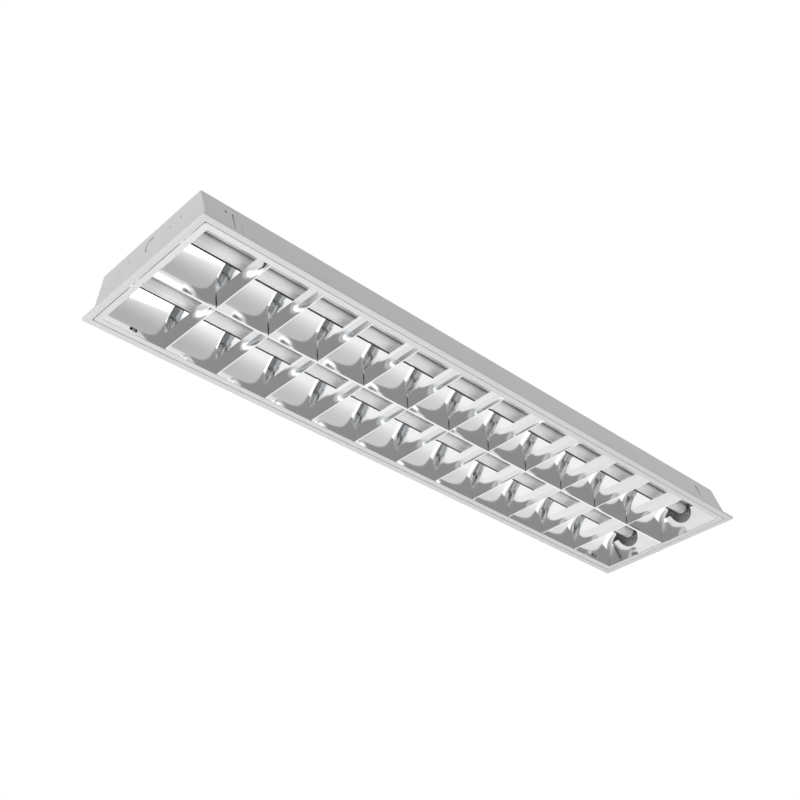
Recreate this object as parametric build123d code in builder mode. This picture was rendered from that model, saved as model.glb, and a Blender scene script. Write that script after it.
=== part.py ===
from build123d import *
import os

# Recessed troffer light for a 312.5 x 1250 ceiling grid: a white steel tray, a hinged mirror louvre of
# 2 x 12 cells, and two 26 mm tubes that twist in their holders. Millimetres.
# X runs along the length, Y across, Z up into the ceiling. The origin is the centre of the flange's
# underside, which is the face that lies on the grid.

os.makedirs("parts", exist_ok=True)

# ---- driving dimensions: tray --------------------------------------------------------------
FLANGE_LENGTH = 1245.0
FLANGE_WIDTH = 307.5
FLANGE_BAND = 11.5          # outer edge to the mouth
FLANGE_CORNER = 1.2
STEEL = 0.7                 # sheet of the tray
HEM_RISE = 4.0              # turned-up edge of the flange
TRAY_HEIGHT = 73.0
WALL_LEAN = 19.25            # how far a long wall leans in on its way up
COLLAR_HEIGHT = 12.0        # upright part of the long walls, above the mouth
END_RETURN = 8.0            # bent edges of the end plates

# ---- driving dimensions: louvre ------------------------------------------------------------
MOUTH_GAP = 1.0             # between the mouth and the louvre frame
LIP_WIDTH = 10.4            # flat lip of the louvre frame
LIP_RECESS = 0.6            # the lip lies this much above the flange's underside
LIP_THICKNESS = 0.8
LIP_CORNER = 4.0
CELL_CORNER = 2.0
NOTCH_OUTER = 59.5          # fixing notches in the end lips, from the middle
NOTCH_INNER = 21.0
NOTCH_WIDTH = 4.0
NOTCH_DEPTH = 1.4
MIRROR_THICKNESS = 0.6                # sheet of the reflectors and blades
MIRROR_DROP = 25.0          # reflectors' top edges, below the tray's top
LAMP_OPENING = 18.0         # lamp axis to the reflectors' top edges
MIRROR_BOW = 9.2            # how far the reflectors bulge off the straight line
REFLECTOR_FOOT = 6.0        # what lies on the louvre frame's lip
CENTRE_FOOT = 4.0           # width of the centre reflector's bottom edge
CENTRE_FOOT_LAP = 1.0
CELLS = 12
END_CELL_EXTRA = 13.2       # what an end cell has more than the others
BLADE_FOOT = 2.2            # width of a blade's bottom edge
BLADE_TOP_WIDTH = 19.8
BLADE_TOP = 22.4            # height of the blades' top edges
BLADE_BOW = 1.2
SLOT_GAP = 0.3              # round a blade where it passes through another sheet
END_MIRROR_REACH = 25.0     # how far the end reflectors lean in at their top
END_MIRROR_BOW = 4.2
LAMP_HOLE_RADIUS = 24.0     # lamp openings in the end reflectors
LAMP_HOLE_DROP = 7.5        # their middle, below the lamp axis
END_FOOT_LAP = 0.4          # how far the end reflectors' feet run in under the sheet

# ---- driving dimensions: lamps -------------------------------------------------------------
LAMP_SHIFT = 1.4            # lamp axis inwards of the middle of its row
LAMP_DROP = 21.0            # lamp axis, below the tray's top
TUBE_DIAMETER = 26.0
TUBE_WALL = 0.8
TUBE_INSET = 1.5            # from a cap's face to the glass
FIT_GAP = 0.05              # round what is pushed into something
HOLDER_DEPTH = 10.8         # from the end plate to the holder's face
CAP_DIAMETER = 27.0
CAP_LENGTH = 13.0
PIN_DIAMETER = 2.4
PIN_LENGTH = 7.0
PIN_SPACING = 12.7
ROTOR_DIAMETER = 18.0
ROTOR_INSET = 0.3           # the rotors' faces lie this much inside the holders'
CAP_GAP = 0.5               # between a cap and its holder
RUNNING_GAP = 0.1           # round what turns
AXIAL_GAP = 0.3            # beside what turns

# ---- driving dimensions: hinge and catches -------------------------------------------------
HINGE_FROM_END = 98.6       # hinges, from the end of the cells
CATCH_FROM_END = 51.5       # catches, from the end of the cells
HINGE_INSET = 7.9           # hinge axis inwards of the lip's outer edge
HINGE_HEIGHT = 3.8
HINGE_PIN_DIAMETER = 2.4
HINGE_EYE = 2.3             # outer radius of the hinge eyes
HINGE_PLATE = 1.5
HINGE_EAR = 1.0
HINGE_STRAP = 3.6           # width of the bracket above its eye
HINGE_FOOT_TOP = 34.0
HINGE_FOOT_WIDTH = 16.0
HINGE_NECK_TOP = 20.0       # where the bracket begins to spread to its foot
EAR_SINK = 0.2              # how far the ears reach into the lip
PIN_HEAD = 0.8
PIN_HEAD_RIM = 0.6
SWING_CLEAR = 14.0          # below this height the louvre's lip sweeps past the bracket
CATCH_WINDOW_HEIGHT = 4.6   # window in the far reflector
CATCH_WINDOW_Z = 7.6
CATCH_KNOB = 4.6
KNOB_GAP = 0.5              # over and under the knob, in its window
CATCH_KNOB_REACH = 4.2      # how far the knob stands into the cell
CATCH_TRAVEL = 4.0          # either way from the middle of the window
CATCH_SET_BACK = 2.2        # slide's middle behind the cell's edge
SLIDE_GAP = 0.2             # between the slide and its guide
SLIDE_SLACK = 0.3           # over and under the tongue
CATCH_LENGTH = 30.0
CATCH_PLATE = 1.2
CATCH_TOP = 10.6
TONGUE_WIDTH = 3.6
TONGUE_REACH = 7.3
KEEPER_SIDE_GAP = 1.0       # between tongue and ledge when the catch is open
KEEPER_LEDGE = 8.0
KEEPER_REACH = 6.5          # of the ledge, from the tray's wall
GUIDE_LENGTH = 38.0
GUIDE_CLEAR = 0.7           # between the guide and the reflector's bottom edge

# ---- driving dimensions: electrical parts --------------------------------------------------
BALLAST_LENGTH = 360.0
BALLAST_WIDTH = 30.0
BALLAST_HEIGHT = 21.0
BALLAST_EAR = 9.0
BALLAST_CORNER = 1.0
EAR_THICKNESS = 1.0
DRIVER_SLOT = 0.8
DRIVER_SLOT_DEPTH = 0.7
SCREW_HEAD = 1.6
SCREW_TAIL = 1.2
HOLDER_WIDTH = 32.5
HOLDER_NOSE = 24.0          # width of the part round the rotor
HOLDER_SHOULDER = 1.0       # where it widens, above the lamp axis
HOLDER_TOP_GAP = 1.3
ROTOR_DEPTH = 7.4
PIN_SLOT = 3.0              # opening the pins enter by, in the holder's nose
PEG_SPACING = 26.7
PEG_RISE = 2.0              # above the lamp axis
PEG_DIAMETER = 3.0
PEG_LENGTH = 1.7             # past the holder's back
TERMINAL_LENGTH = 34.0
TERMINAL_WIDTH = 14.4
TERMINAL_HEIGHT = 15.0
TERMINAL_FROM_BALLAST = 60.0
TERMINAL_SPACING = 4.4
TERMINAL_FUNNEL = 3.4
TERMINAL_WELL = 4.0
ENTRY_FROM_BLOCK = 60.0     # cable entry, from the middle of the terminal block
ENTRY_DIAMETER = 20.0
CABLE_BORE = 13.0
GROMMET_LIP = 2.0
EARTH_FROM_BALLAST = 25.0
EARTH_Y = 26.0
STUD_DIAMETER = 4.0
STUD_LENGTH = 12.0
STUD_HEAD = 1.0
STUD_NUT = 3.2
WIRE_DIAMETER = 3.2
WIRE_BEND = 16.0
WIRE_LANE = 9.6             # the long wires' distance from the middle
WIRE_DROP = 4.6             # wires' axis below the tray's top
WIRE_SPREAD_LENGTH = 70.0   # before the holders, where the wires turn outwards
WIRE_END_LENGTH = 26.0
CLIP_FROM_END = 235.0
CLIP_LENGTH = 8.0
CLIP_HEIGHT = 7.0
CLIP_EDGE = 1.5
HANGER_HOLE = 5.5
HANGER_FROM_END = 186.0
HANGER_FROM_SIDE = 43.0
SAFETY_HOLE = 4.5
SAFETY_FROM_END = 39.4
SAFETY_DROP = 18.6
TAB_FROM_END = 58.0
TAB_WIDTH = 13.0
TAB_BOTTOM = 21.0
TAB_DROP = 16.8
TAB_LEAN = 1.5              # how far the tab's top stands off the wall
TAB_SLIT = 1.0              # between the tab and its window
KNOCKOUT_DIAMETER = 22.0
KNOCKOUT_Y = -4.0
KNOCKOUT_DROP = 22.3
KNOCKOUT_SLIT = 2.0
KNOCKOUT_START_ANGLE = -32.0       # where the slit starts, and how far round it runs, in degrees
KNOCKOUT_SWEEP_ANGLE = 154.0
RIVET_DIAMETER = 3.2
RIVET_HEAD = 6.0
RIVET_HEAD_HEIGHT = 0.8
RIVET_TAPER = 30.0
RIVET_TAIL = 1.2
RIVET_TAIL_DIAMETER = 4.5
RIVET_FROM_LAMP = 33.6

# ---- worked out ----------------------------------------------------------------------------
mouth_x = FLANGE_LENGTH / 2 - FLANGE_BAND
mouth_y = FLANGE_WIDTH / 2 - FLANGE_BAND
top_y = mouth_y - WALL_LEAN
ceiling = TRAY_HEIGHT - STEEL                   # inside face of the tray's top
lamp_height = ceiling - LAMP_DROP
lamp_hole_height = lamp_height - LAMP_HOLE_DROP
mirror_top = ceiling - MIRROR_DROP
holder_top = ceiling - HOLDER_TOP_GAP
peg_height = lamp_height + PEG_RISE
tab_top = ceiling - TAB_DROP
knockout_height = ceiling - KNOCKOUT_DROP
lip_x = mouth_x - MOUTH_GAP
lip_y = mouth_y - MOUTH_GAP
cell_x = lip_x - LIP_WIDTH
cell_y = lip_y - LIP_WIDTH
lip_top = LIP_RECESS + LIP_THICKNESS
lamp_y = (cell_y + CENTRE_FOOT / 2) / 2 - LAMP_SHIFT
side_top_y = lamp_y + LAMP_OPENING
centre_top_y = lamp_y - LAMP_OPENING
wall_slope = (mouth_y - top_y) / (ceiling - COLLAR_HEIGHT)
hinge_y = -(lip_y - HINGE_INSET)
pin_radius = HINGE_PIN_DIAMETER / 2
blade_count = CELLS - 1
cell_pitch = 2 * (cell_x - END_CELL_EXTRA) / CELLS
blade_stations = [(number - (blade_count - 1) / 2) * cell_pitch for number in range(blade_count)]
rotor_radius = ROTOR_DIAMETER / 2
holder_back = mouth_x
holder_face = holder_back - HOLDER_DEPTH
lamp_end = holder_face - CAP_GAP                # 1199.4 mm between the faces of the caps
catch_y = cell_y + CATCH_SET_BACK
catch_window = CATCH_KNOB + 2 * (CATCH_TRAVEL + SLIDE_GAP)
rivet_x = mouth_x - END_RETURN / 2
rivet_y = lamp_y + RIVET_FROM_LAMP
hinge_station = cell_x - HINGE_FROM_END
catch_station = cell_x - CATCH_FROM_END
keeper_inner = mouth_y - KEEPER_REACH
terminal_station = -BALLAST_LENGTH / 2 - TERMINAL_FROM_BALLAST
entry_station = terminal_station - ENTRY_FROM_BLOCK
earth_station = -BALLAST_LENGTH / 2 - EARTH_FROM_BALLAST
clip_station = holder_face - CLIP_FROM_END
hanger_x = mouth_x - HANGER_FROM_END
hanger_y = top_y - HANGER_FROM_SIDE
safety_station = mouth_x - SAFETY_FROM_END
tab_station = mouth_x - TAB_FROM_END
tube_radius = TUBE_DIAMETER / 2
terminal_wire_z = ceiling - TERMINAL_HEIGHT / 2


def wall_y(height):
    """Inside face of a long wall at a height above the collar."""
    return mouth_y - wall_slope * (height - COLLAR_HEIGHT)


def bowed_sheet(bottom, top, bow, thickness):
    """Section of a bowed sheet from bottom to top: `bow` bulges it to the left of that line,
    and the thickness lies on the bulging side."""
    start = Vector(*bottom)
    end = Vector(*top)
    chord = end - start
    across = Vector(-chord.Y, chord.X).normalized() * (1 if bow > 0 else -1)
    rise = abs(bow)
    radius = (chord.length ** 2 / 4 + rise ** 2) / (2 * rise)
    middle = (start + end) * 0.5 + across * rise
    centre = middle - across * radius
    grow = (radius + thickness) / radius
    outer = [centre + (point - centre) * grow for point in (start, middle, end)]
    with BuildLine() as outline:
        ThreePointArc(start, middle, end)
        Line(end, outer[2])
        ThreePointArc(outer[2], outer[1], outer[0])
        Line(outer[0], start)
    make_face(outline.edges())


def save(part, name):
    part.label = name
    export_step(part, f"parts/{name}.step")


# ---- flange: four mitred strips with a hem; the long ones carry the upright collar ----------
flange_corners = [(-FLANGE_LENGTH / 2, -FLANGE_WIDTH / 2), (FLANGE_LENGTH / 2, -FLANGE_WIDTH / 2),
                  (FLANGE_LENGTH / 2, FLANGE_WIDTH / 2), (-FLANGE_LENGTH / 2, FLANGE_WIDTH / 2)]
mouth_corners = [(-mouth_x, -mouth_y), (mouth_x, -mouth_y), (mouth_x, mouth_y), (-mouth_x, mouth_y)]
for number, strip_name in enumerate(("near", "right", "far", "left")):
    following = (number + 1) % 4
    with BuildPart() as flange:
        for height in (STEEL, HEM_RISE):
            with BuildSketch():
                with BuildLine():
                    Polyline(flange_corners[number], flange_corners[following],
                             mouth_corners[following], mouth_corners[number], close=True)
                make_face()
                RectangleRounded(FLANGE_LENGTH, FLANGE_WIDTH, FLANGE_CORNER, mode=Mode.INTERSECT)
                if height == HEM_RISE:
                    Rectangle(FLANGE_LENGTH - 2 * STEEL, FLANGE_WIDTH - 2 * STEEL,
                              mode=Mode.SUBTRACT)
            extrude(amount=height)
        if strip_name in ("near", "far"):
            side = 1 if strip_name == "far" else -1
            with BuildSketch():
                with Locations((0, side * (mouth_y + STEEL / 2))):
                    Rectangle(2 * mouth_x, STEEL)
            extrude(amount=COLLAR_HEIGHT)
    save(flange.part, f"flange_{strip_name}")

# ---- tray sides: sheets that lean in above the collar, each with two windows ----------------
for side_name, side in (("near", -1), ("far", 1)):
    with BuildPart() as tray_side:
        with BuildSketch(Plane.YZ.offset(-mouth_x)):
            with BuildLine():
                Polyline(
                    (side * mouth_y, COLLAR_HEIGHT), (side * wall_y(ceiling), ceiling),
                    (side * (wall_y(ceiling) + STEEL), ceiling),
                    (side * (mouth_y + STEEL), COLLAR_HEIGHT), close=True)
            make_face()
        extrude(amount=2 * mouth_x)
        with BuildSketch(Plane.XZ):
            with Locations((-tab_station, (TAB_BOTTOM + tab_top) / 2),
                           (tab_station, (TAB_BOTTOM + tab_top) / 2)):
                Rectangle(TAB_WIDTH + 2 * TAB_SLIT, tab_top - TAB_BOTTOM)
            # hole for a safety wire
            with Locations((side * safety_station, (ceiling - SAFETY_DROP))):
                Circle(SAFETY_HOLE / 2)
        extrude(amount=-side * FLANGE_WIDTH / 2, mode=Mode.SUBTRACT)
        # the tab that was bent out of each window
        for station in (-tab_station, tab_station):
            with BuildSketch(Plane.YZ.offset(station - TAB_WIDTH / 2)):
                with BuildLine():
                    Polyline(
                        (side * wall_y(TAB_BOTTOM - TAB_SLIT), TAB_BOTTOM - TAB_SLIT),
                        (side * (wall_y(TAB_BOTTOM - TAB_SLIT) + STEEL), TAB_BOTTOM - TAB_SLIT),
                        (side * (wall_y(tab_top) + STEEL + TAB_LEAN), tab_top - TAB_SLIT),
                        (side * (wall_y(tab_top) + TAB_LEAN), tab_top - TAB_SLIT), close=True)
                make_face()
            extrude(amount=TAB_WIDTH)
    save(tray_side.part, f"tray_side_{side_name}")

# ---- tray top: a sheet with holes for hangers, cable entry, gear screws and earth stud ------
with BuildPart() as tray_top:
    with BuildSketch(Plane.XY.offset(ceiling)):
        Rectangle(2 * mouth_x, 2 * (wall_y(ceiling) + STEEL))
        with GridLocations(2 * hanger_x, 2 * hanger_y, 2, 2):
            Circle(HANGER_HOLE / 2, mode=Mode.SUBTRACT)
        with Locations((entry_station, 0)):
            Circle(ENTRY_DIAMETER / 2, mode=Mode.SUBTRACT)
        with GridLocations(BALLAST_LENGTH + BALLAST_EAR, 0, 2, 1):
            Circle(RIVET_DIAMETER / 2, mode=Mode.SUBTRACT)
        with Locations((terminal_station, 0)):
            Circle(RIVET_DIAMETER / 2, mode=Mode.SUBTRACT)
        with Locations((earth_station, EARTH_Y)):
            Circle(STUD_DIAMETER / 2, mode=Mode.SUBTRACT)
        with GridLocations(2 * rivet_x, 2 * rivet_y, 2, 2):
            Circle(RIVET_DIAMETER / 2, mode=Mode.SUBTRACT)
    extrude(amount=STEEL)
save(tray_top.part, "tray_top")

# ---- end plates, with bent edges that lie inside the tray ----------------------------------
for end_name, end in (("left", -1), ("right", 1)):
    with BuildPart() as end_plate:
        with BuildSketch(Plane.YZ.offset(end * mouth_x)):
            with BuildLine():
                Polyline(
                    (-mouth_y - STEEL, STEEL), (-mouth_y - STEEL, COLLAR_HEIGHT),
                    (-top_y - STEEL, ceiling), (-top_y - STEEL, TRAY_HEIGHT),
                    (top_y + STEEL, TRAY_HEIGHT), (top_y + STEEL, ceiling),
                    (mouth_y + STEEL, COLLAR_HEIGHT), (mouth_y + STEEL, STEEL), close=True)
            make_face()
            for lamp in (-1, 1):
                with Locations((lamp * lamp_y - PEG_SPACING / 2, peg_height),
                               (lamp * lamp_y + PEG_SPACING / 2, peg_height)):
                    Circle(PEG_DIAMETER / 2, mode=Mode.SUBTRACT)
            # slit round a cable knock-out
            with BuildLine():
                inner_arc = CenterArc((KNOCKOUT_Y, knockout_height), KNOCKOUT_DIAMETER / 2,
                                      KNOCKOUT_START_ANGLE, KNOCKOUT_SWEEP_ANGLE)
                outer_arc = CenterArc((KNOCKOUT_Y, knockout_height),
                                      KNOCKOUT_DIAMETER / 2 + KNOCKOUT_SLIT,
                                      KNOCKOUT_START_ANGLE, KNOCKOUT_SWEEP_ANGLE)
                Line(inner_arc @ 0, outer_arc @ 0)
                Line(inner_arc @ 1, outer_arc @ 1)
            make_face(mode=Mode.SUBTRACT)
        extrude(amount=end * STEEL)
        # top edge bent inwards under the tray's top
        with BuildSketch(Plane.XY.offset(ceiling)):
            with Locations((end * (mouth_x - END_RETURN / 2), 0)):
                Rectangle(END_RETURN, 2 * top_y - END_RETURN)
            with Locations((end * rivet_x, -rivet_y), (end * rivet_x, rivet_y)):
                Circle(RIVET_DIAMETER / 2, mode=Mode.SUBTRACT)
        extrude(amount=-STEEL)
    save(end_plate.part, f"end_plate_{end_name}")

# ---- louvre frame: a flat ring with a low upright rim --------------------------------------
with BuildPart() as louvre_frame:
    with BuildSketch(Plane.XY.offset(LIP_RECESS)):
        RectangleRounded(2 * lip_x, 2 * lip_y, LIP_CORNER)
        RectangleRounded(2 * cell_x, 2 * cell_y, CELL_CORNER, mode=Mode.SUBTRACT)
        # fixing notches in the inner edge of both end lips
        for notch_y in (-NOTCH_OUTER, -NOTCH_INNER, NOTCH_INNER, NOTCH_OUTER):
            with Locations((-cell_x, notch_y), (cell_x, notch_y)):
                Rectangle(2 * NOTCH_DEPTH, NOTCH_WIDTH, mode=Mode.SUBTRACT)
    extrude(amount=LIP_THICKNESS)
    # ears that hold the hinge pins
    for station in (-hinge_station, hinge_station):
        for side in (-1, 1):
            ear_x = station + side * (HINGE_PLATE + HINGE_EAR + 2 * AXIAL_GAP) / 2 - HINGE_EAR / 2
            with BuildSketch(Plane.YZ.offset(ear_x)):
                with Locations((hinge_y, HINGE_HEIGHT)):
                    Circle(HINGE_EYE)
                with Locations((hinge_y, (LIP_RECESS + EAR_SINK + HINGE_HEIGHT) / 2)):
                    Rectangle(2 * HINGE_EYE, HINGE_HEIGHT - LIP_RECESS - EAR_SINK)
                with Locations((hinge_y, HINGE_HEIGHT)):
                    Circle(pin_radius, mode=Mode.SUBTRACT)
            extrude(amount=HINGE_EAR)
save(louvre_frame.part, "louvre_frame")

# ---- side reflectors: bowed mirror sheets from the lip up beside each lamp -----------------
for side_name, side in (("near", -1), ("far", 1)):
    with BuildPart() as side_reflector:
        with BuildSketch(Plane.YZ.offset(-cell_x)):
            bowed_sheet((side * cell_y, lip_top), (side * side_top_y, mirror_top),
                        -side * MIRROR_BOW, MIRROR_THICKNESS)
            with Locations((side * (cell_y + REFLECTOR_FOOT / 2), lip_top + MIRROR_THICKNESS / 2)):
                Rectangle(REFLECTOR_FOOT, MIRROR_THICKNESS)
        extrude(amount=2 * cell_x)
        # the foot is cut away round the hinge ears or the catches
        station = hinge_station if side < 0 else catch_station
        with BuildSketch(Plane.XY.offset(lip_top)):
            with GridLocations(2 * station, 0, 2, 1):
                with Locations((0, side * (cell_y + GUIDE_CLEAR + REFLECTOR_FOOT / 2))):
                    Rectangle(GUIDE_LENGTH + 2 * GUIDE_CLEAR, REFLECTOR_FOOT)
        extrude(amount=MIRROR_THICKNESS, mode=Mode.SUBTRACT)
        if side > 0:
            with BuildSketch(Plane.XZ.offset(-side_top_y)):
                with GridLocations(2 * catch_station, 0, 2, 1):
                    with Locations((0, CATCH_WINDOW_Z)):
                        Rectangle(catch_window, CATCH_WINDOW_HEIGHT)
            extrude(amount=side_top_y - mouth_y, mode=Mode.SUBTRACT)
    save(side_reflector.part, f"side_reflector_{side_name}")


def cross_plane(station):
    """Upright plane along X whose own origin is at a station."""
    return Plane(origin=(station, 0, 0), x_dir=(1, 0, 0), z_dir=(0, -1, 0))


def blade_prism(gap):
    """Outline of a blade, grown by `gap`: what has to be cut from a sheet it passes through."""
    foot = BLADE_FOOT / 2 + gap
    shoulder = BLADE_TOP_WIDTH / 2 + gap
    with BuildLine() as outline:
        Polyline((-foot, lip_top - gap), (foot, lip_top - gap), (shoulder, BLADE_TOP + gap),
                 (-shoulder, BLADE_TOP + gap), close=True)
    make_face(outline.edges())


def bowed_edge(bottom, top, bow):
    start = Vector(*bottom)
    end = Vector(*top)
    chord = end - start
    across = Vector(-chord.Y, chord.X).normalized()
    ThreePointArc(start, (start + end) * 0.5 + across * bow, end)


def louvre_section():
    """Space between the two side reflectors, seen along X."""
    with BuildLine() as outline:
        bowed_edge((-cell_y, lip_top), (-side_top_y, mirror_top), MIRROR_BOW)
        Line((-side_top_y, mirror_top), (side_top_y, mirror_top))
        bowed_edge((cell_y, lip_top), (side_top_y, mirror_top), -MIRROR_BOW)
        Line((cell_y, lip_top), (-cell_y, lip_top))
    make_face(outline.edges())


def lamp_section(lamp):
    """Space of one row of cells, between its side reflector and the centre one."""
    foot = lamp * CENTRE_FOOT / 2
    with BuildLine() as outline:
        bowed_edge((lamp * cell_y, lip_top), (lamp * side_top_y, mirror_top), -lamp * MIRROR_BOW)
        Line((lamp * side_top_y, mirror_top), (lamp * centre_top_y, mirror_top))
        bowed_edge((foot, lip_top), (lamp * centre_top_y, mirror_top), lamp * MIRROR_BOW)
        Line((foot, lip_top), (lamp * cell_y, lip_top))
    make_face(outline.edges())


# ---- centre reflector: a long V between the two lamps, slotted for the blades --------------
with BuildPart() as centre_reflector:
    with BuildSketch(Plane.YZ.offset(-cell_x)):
        for side in (-1, 1):
            bowed_sheet((side * CENTRE_FOOT / 2, lip_top), (side * centre_top_y, mirror_top),
                        side * MIRROR_BOW, MIRROR_THICKNESS)
        with Locations((0, lip_top + MIRROR_THICKNESS / 2)):
            Rectangle(CENTRE_FOOT, MIRROR_THICKNESS)
    extrude(amount=2 * cell_x)
    for station in blade_stations:
        with BuildSketch(cross_plane(station)):
            blade_prism(SLOT_GAP)
        extrude(amount=centre_top_y / 2, both=True, mode=Mode.SUBTRACT)
    # end tabs that lie on the frame's lip
    with BuildSketch(Plane.XY.offset(lip_top)):
        with GridLocations(2 * cell_x + REFLECTOR_FOOT, 0, 2, 1):
            Rectangle(REFLECTOR_FOOT + 2 * CENTRE_FOOT_LAP, CENTRE_FOOT)
    extrude(amount=MIRROR_THICKNESS)
save(centre_reflector.part, "centre_reflector")

# ---- end reflectors: bowed sheets across each row, opened round the lamp -------------------
for end_name, end in (("left", -1), ("right", 1)):
    with BuildPart() as end_reflector:
        with BuildSketch(Plane.XZ):
            bowed_sheet((end * cell_x, lip_top), (end * (cell_x - END_MIRROR_REACH), mirror_top),
                        -end * END_MIRROR_BOW, MIRROR_THICKNESS)
        extrude(amount=cell_y, both=True)
        with BuildSketch(Plane.YZ.offset(end * (cell_x - 2 * END_MIRROR_REACH))):
            for lamp in (-1, 1):
                lamp_section(lamp)
            offset(amount=-SLOT_GAP)
            for lamp in (-1, 1):
                with Locations((lamp * lamp_y, lamp_hole_height)):
                    Circle(LAMP_HOLE_RADIUS, mode=Mode.SUBTRACT)
                with Locations((lamp * lamp_y, lamp_hole_height + LAMP_HOLE_RADIUS)):
                    Rectangle(2 * LAMP_HOLE_RADIUS, 2 * LAMP_HOLE_RADIUS, mode=Mode.SUBTRACT)
        extrude(amount=end * 3 * END_MIRROR_REACH, mode=Mode.INTERSECT)
        with BuildSketch(Plane.XY.offset(lip_top)):
            for lamp in (-1, 1):
                with Locations((end * (cell_x + REFLECTOR_FOOT / 2 - END_FOOT_LAP), lamp * lamp_y)):
                    Rectangle(REFLECTOR_FOOT + 2 * END_FOOT_LAP, lamp_y)
        extrude(amount=MIRROR_THICKNESS)
    save(end_reflector.part, f"end_reflector_{end_name}")

# ---- cross blades: eleven folded V sheets across both rows ---------------------------------
for number, station in enumerate(blade_stations, start=1):
    with BuildPart() as cross_blade:
        with BuildSketch(cross_plane(station)):
            for side in (-1, 1):
                bowed_sheet((side * BLADE_FOOT / 2, lip_top),
                            (side * BLADE_TOP_WIDTH / 2, BLADE_TOP), side * BLADE_BOW, MIRROR_THICKNESS)
            with Locations((0, lip_top + MIRROR_THICKNESS / 2)):
                Rectangle(BLADE_FOOT, MIRROR_THICKNESS)
        extrude(amount=cell_y, both=True)
        with BuildSketch(Plane.YZ.offset(station - BLADE_TOP_WIDTH)):
            louvre_section()
            offset(amount=-SLOT_GAP)
        extrude(amount=2 * BLADE_TOP_WIDTH, mode=Mode.INTERSECT)
    save(cross_blade.part, f"cross_blade_{number:02d}")

# ---- hinge pins in the frame's ears, and the brackets that carry them from the near wall ---
ear_span = HINGE_PLATE + 2 * (AXIAL_GAP + HINGE_EAR)
with BuildPart() as hinge_pins:
    for station in (-hinge_station, hinge_station):
        with BuildSketch(Plane.YZ.offset(station - ear_span / 2)):
            with Locations((hinge_y, HINGE_HEIGHT)):
                Circle(pin_radius)
        extrude(amount=ear_span)
        for head in (station - ear_span / 2 - PIN_HEAD, station + ear_span / 2):
            with BuildSketch(Plane.YZ.offset(head)):
                with Locations((hinge_y, HINGE_HEIGHT)):
                    Circle(pin_radius + PIN_HEAD_RIM)
            extrude(amount=PIN_HEAD)
save(hinge_pins.part, "hinge_pins")

for end_name, end in (("left", -1), ("right", 1)):
    station = end * hinge_station
    with BuildPart() as hinge_bracket:
        with BuildSketch(Plane.YZ.offset(station - HINGE_PLATE / 2)):
            with BuildLine():
                Polyline(
                    (hinge_y - HINGE_STRAP / 2, HINGE_HEIGHT),
                    (hinge_y + HINGE_STRAP / 2, HINGE_HEIGHT),
                    (hinge_y + HINGE_STRAP / 2, HINGE_NECK_TOP),
                    (-wall_y(HINGE_FOOT_TOP), HINGE_FOOT_TOP),
                    (-wall_y(SWING_CLEAR), SWING_CLEAR),
                    (hinge_y - HINGE_STRAP / 2, SWING_CLEAR), close=True)
            make_face()
            with Locations((hinge_y, HINGE_HEIGHT)):
                Circle(HINGE_EYE)
                Circle(pin_radius + RUNNING_GAP, mode=Mode.SUBTRACT)
        extrude(amount=HINGE_PLATE)
        with BuildSketch(Plane.YZ.offset(station - HINGE_FOOT_WIDTH / 2)):
            with BuildLine():
                Polyline(
                    (-wall_y(SWING_CLEAR), SWING_CLEAR),
                    (-wall_y(HINGE_FOOT_TOP), HINGE_FOOT_TOP),
                    (-wall_y(HINGE_FOOT_TOP) + HINGE_PLATE, HINGE_FOOT_TOP),
                    (-wall_y(SWING_CLEAR) + HINGE_PLATE, SWING_CLEAR), close=True)
            make_face()
        extrude(amount=HINGE_FOOT_WIDTH)
    save(hinge_bracket.part, f"hinge_bracket_{end_name}")

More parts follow.
